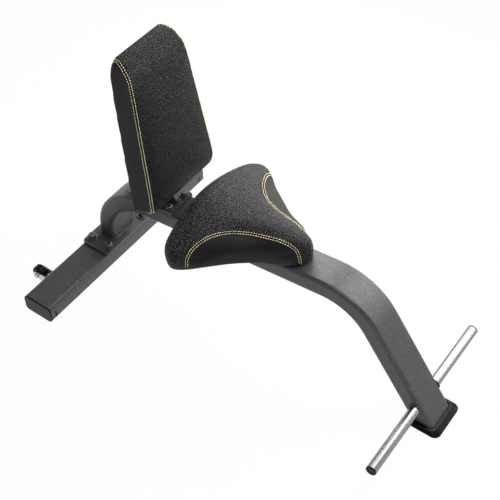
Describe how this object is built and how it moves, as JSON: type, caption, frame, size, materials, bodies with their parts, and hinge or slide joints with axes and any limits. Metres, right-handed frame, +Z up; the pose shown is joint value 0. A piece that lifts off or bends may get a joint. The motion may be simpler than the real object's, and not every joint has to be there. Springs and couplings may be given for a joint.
{
  "type": "upright utility bench",
  "caption": "Fixed upright exercise bench: bent flat tube on a rear floor beam, saddle seat, leaning backrest, crossbar foot pegs, rubber boot and transport wheels.",
  "frame": {"origin": "on the floor, under the middle of the whole bench", "axes": "+X forward, the way the user faces; +Y to the user's left; +Z up"},
  "size_m": [1.2522, 0.72, 0.8216],
  "materials": {
    "frame_paint": "fine sparkle charcoal powder coat",
    "upholstery": "black grained upholstery over foam",
    "black_plastic": "moulded, satin",
    "rubber": "moulded, satin",
    "chrome": "bright chrome plate",
    "zinc_plate": "bright zinc plate",
    "black_steel": "black zinc plate",
    "plywood": "bare plywood"
  },
  "bodies": {
    "bench_frame": {"main_tube": "frame_paint", "rear_base_plate": "frame_paint", "rear_crossbeam": "frame_paint", "crossbeam_end_cap_left": "black_plastic", "crossbeam_end_cap_right": "black_plastic", "base_plate_bolt_front_left": "black_steel", "base_plate_bolt_front_right": "black_steel", "base_plate_bolt_rear_left": "black_steel", "base_plate_bolt_rear_right": "black_steel", "base_plate_washer_front_left": "black_steel", "base_plate_washer_front_right": "black_steel", "base_plate_washer_rear_left": "black_steel", "base_plate_washer_rear_right": "black_steel", "backrest_bracket_plate": "frame_paint", "bracket_bolt_front_left": "black_steel", "bracket_bolt_front_right": "black_steel", "bracket_bolt_rear_left": "black_steel", "bracket_bolt_rear_right": "black_steel", "bracket_washer_front_left": "black_steel", "bracket_washer_front_right": "black_steel", "bracket_washer_rear_left": "black_steel", "bracket_washer_rear_right": "black_steel", "backrest_post": "frame_paint", "backrest_post_rib": "frame_paint", "post_top_plug": "black_plastic", "backrest_mount_plate": "frame_paint", "backrest_board": "plywood", "backrest_back_cover": "black_plastic", "backrest_cushion": "upholstery", "backrest_screw_lower_left": "zinc_plate", "backrest_screw_lower_right": "zinc_plate", "backrest_screw_upper_left": "zinc_plate", "backrest_screw_upper_right": "zinc_plate", "seat_mount_plate": "frame_paint", "seat_board": "plywood", "seat_cushion": "upholstery", "seat_screw_rear_left": "zinc_plate", "seat_screw_rear_right": "zinc_plate", "seat_screw_front_left": "zinc_plate", "seat_screw_front_right": "zinc_plate", "foot_peg_bar": "chrome", "peg_end_cap_left": "black_plastic", "peg_end_cap_right": "black_plastic", "front_foot_boot": "rubber", "wheel_bracket_left": "zinc_plate", "wheel_bracket_right": "zinc_plate", "wheel_spacer_left": "zinc_plate", "wheel_spacer_right": "zinc_plate", "wheel_axle_bolt_left": "zinc_plate", "wheel_axle_bolt_right": "zinc_plate", "wheel_axle_nut_left": "zinc_plate", "wheel_axle_nut_right": "zinc_plate", "bracket_screw_left_a": "zinc_plate", "bracket_screw_left_b": "zinc_plate", "bracket_screw_right_a": "zinc_plate", "bracket_screw_right_b": "zinc_plate"},
    "left_wheel": {"wheel_left": "rubber"},
    "right_wheel": {"wheel_right": "rubber"}
  },
  "joints": [
    {"name": "left_wheel_spin", "type": "hinge", "parent": "bench_frame", "child": "left_wheel", "pos_m": [-0.60357, 0.2515, 0.031], "axis": [0, 1, 0], "continuous": true},
    {"name": "right_wheel_spin", "type": "hinge", "parent": "bench_frame", "child": "right_wheel", "pos_m": [-0.60357, -0.2515, 0.031], "axis": [0, 1, 0], "continuous": true}
  ]
}
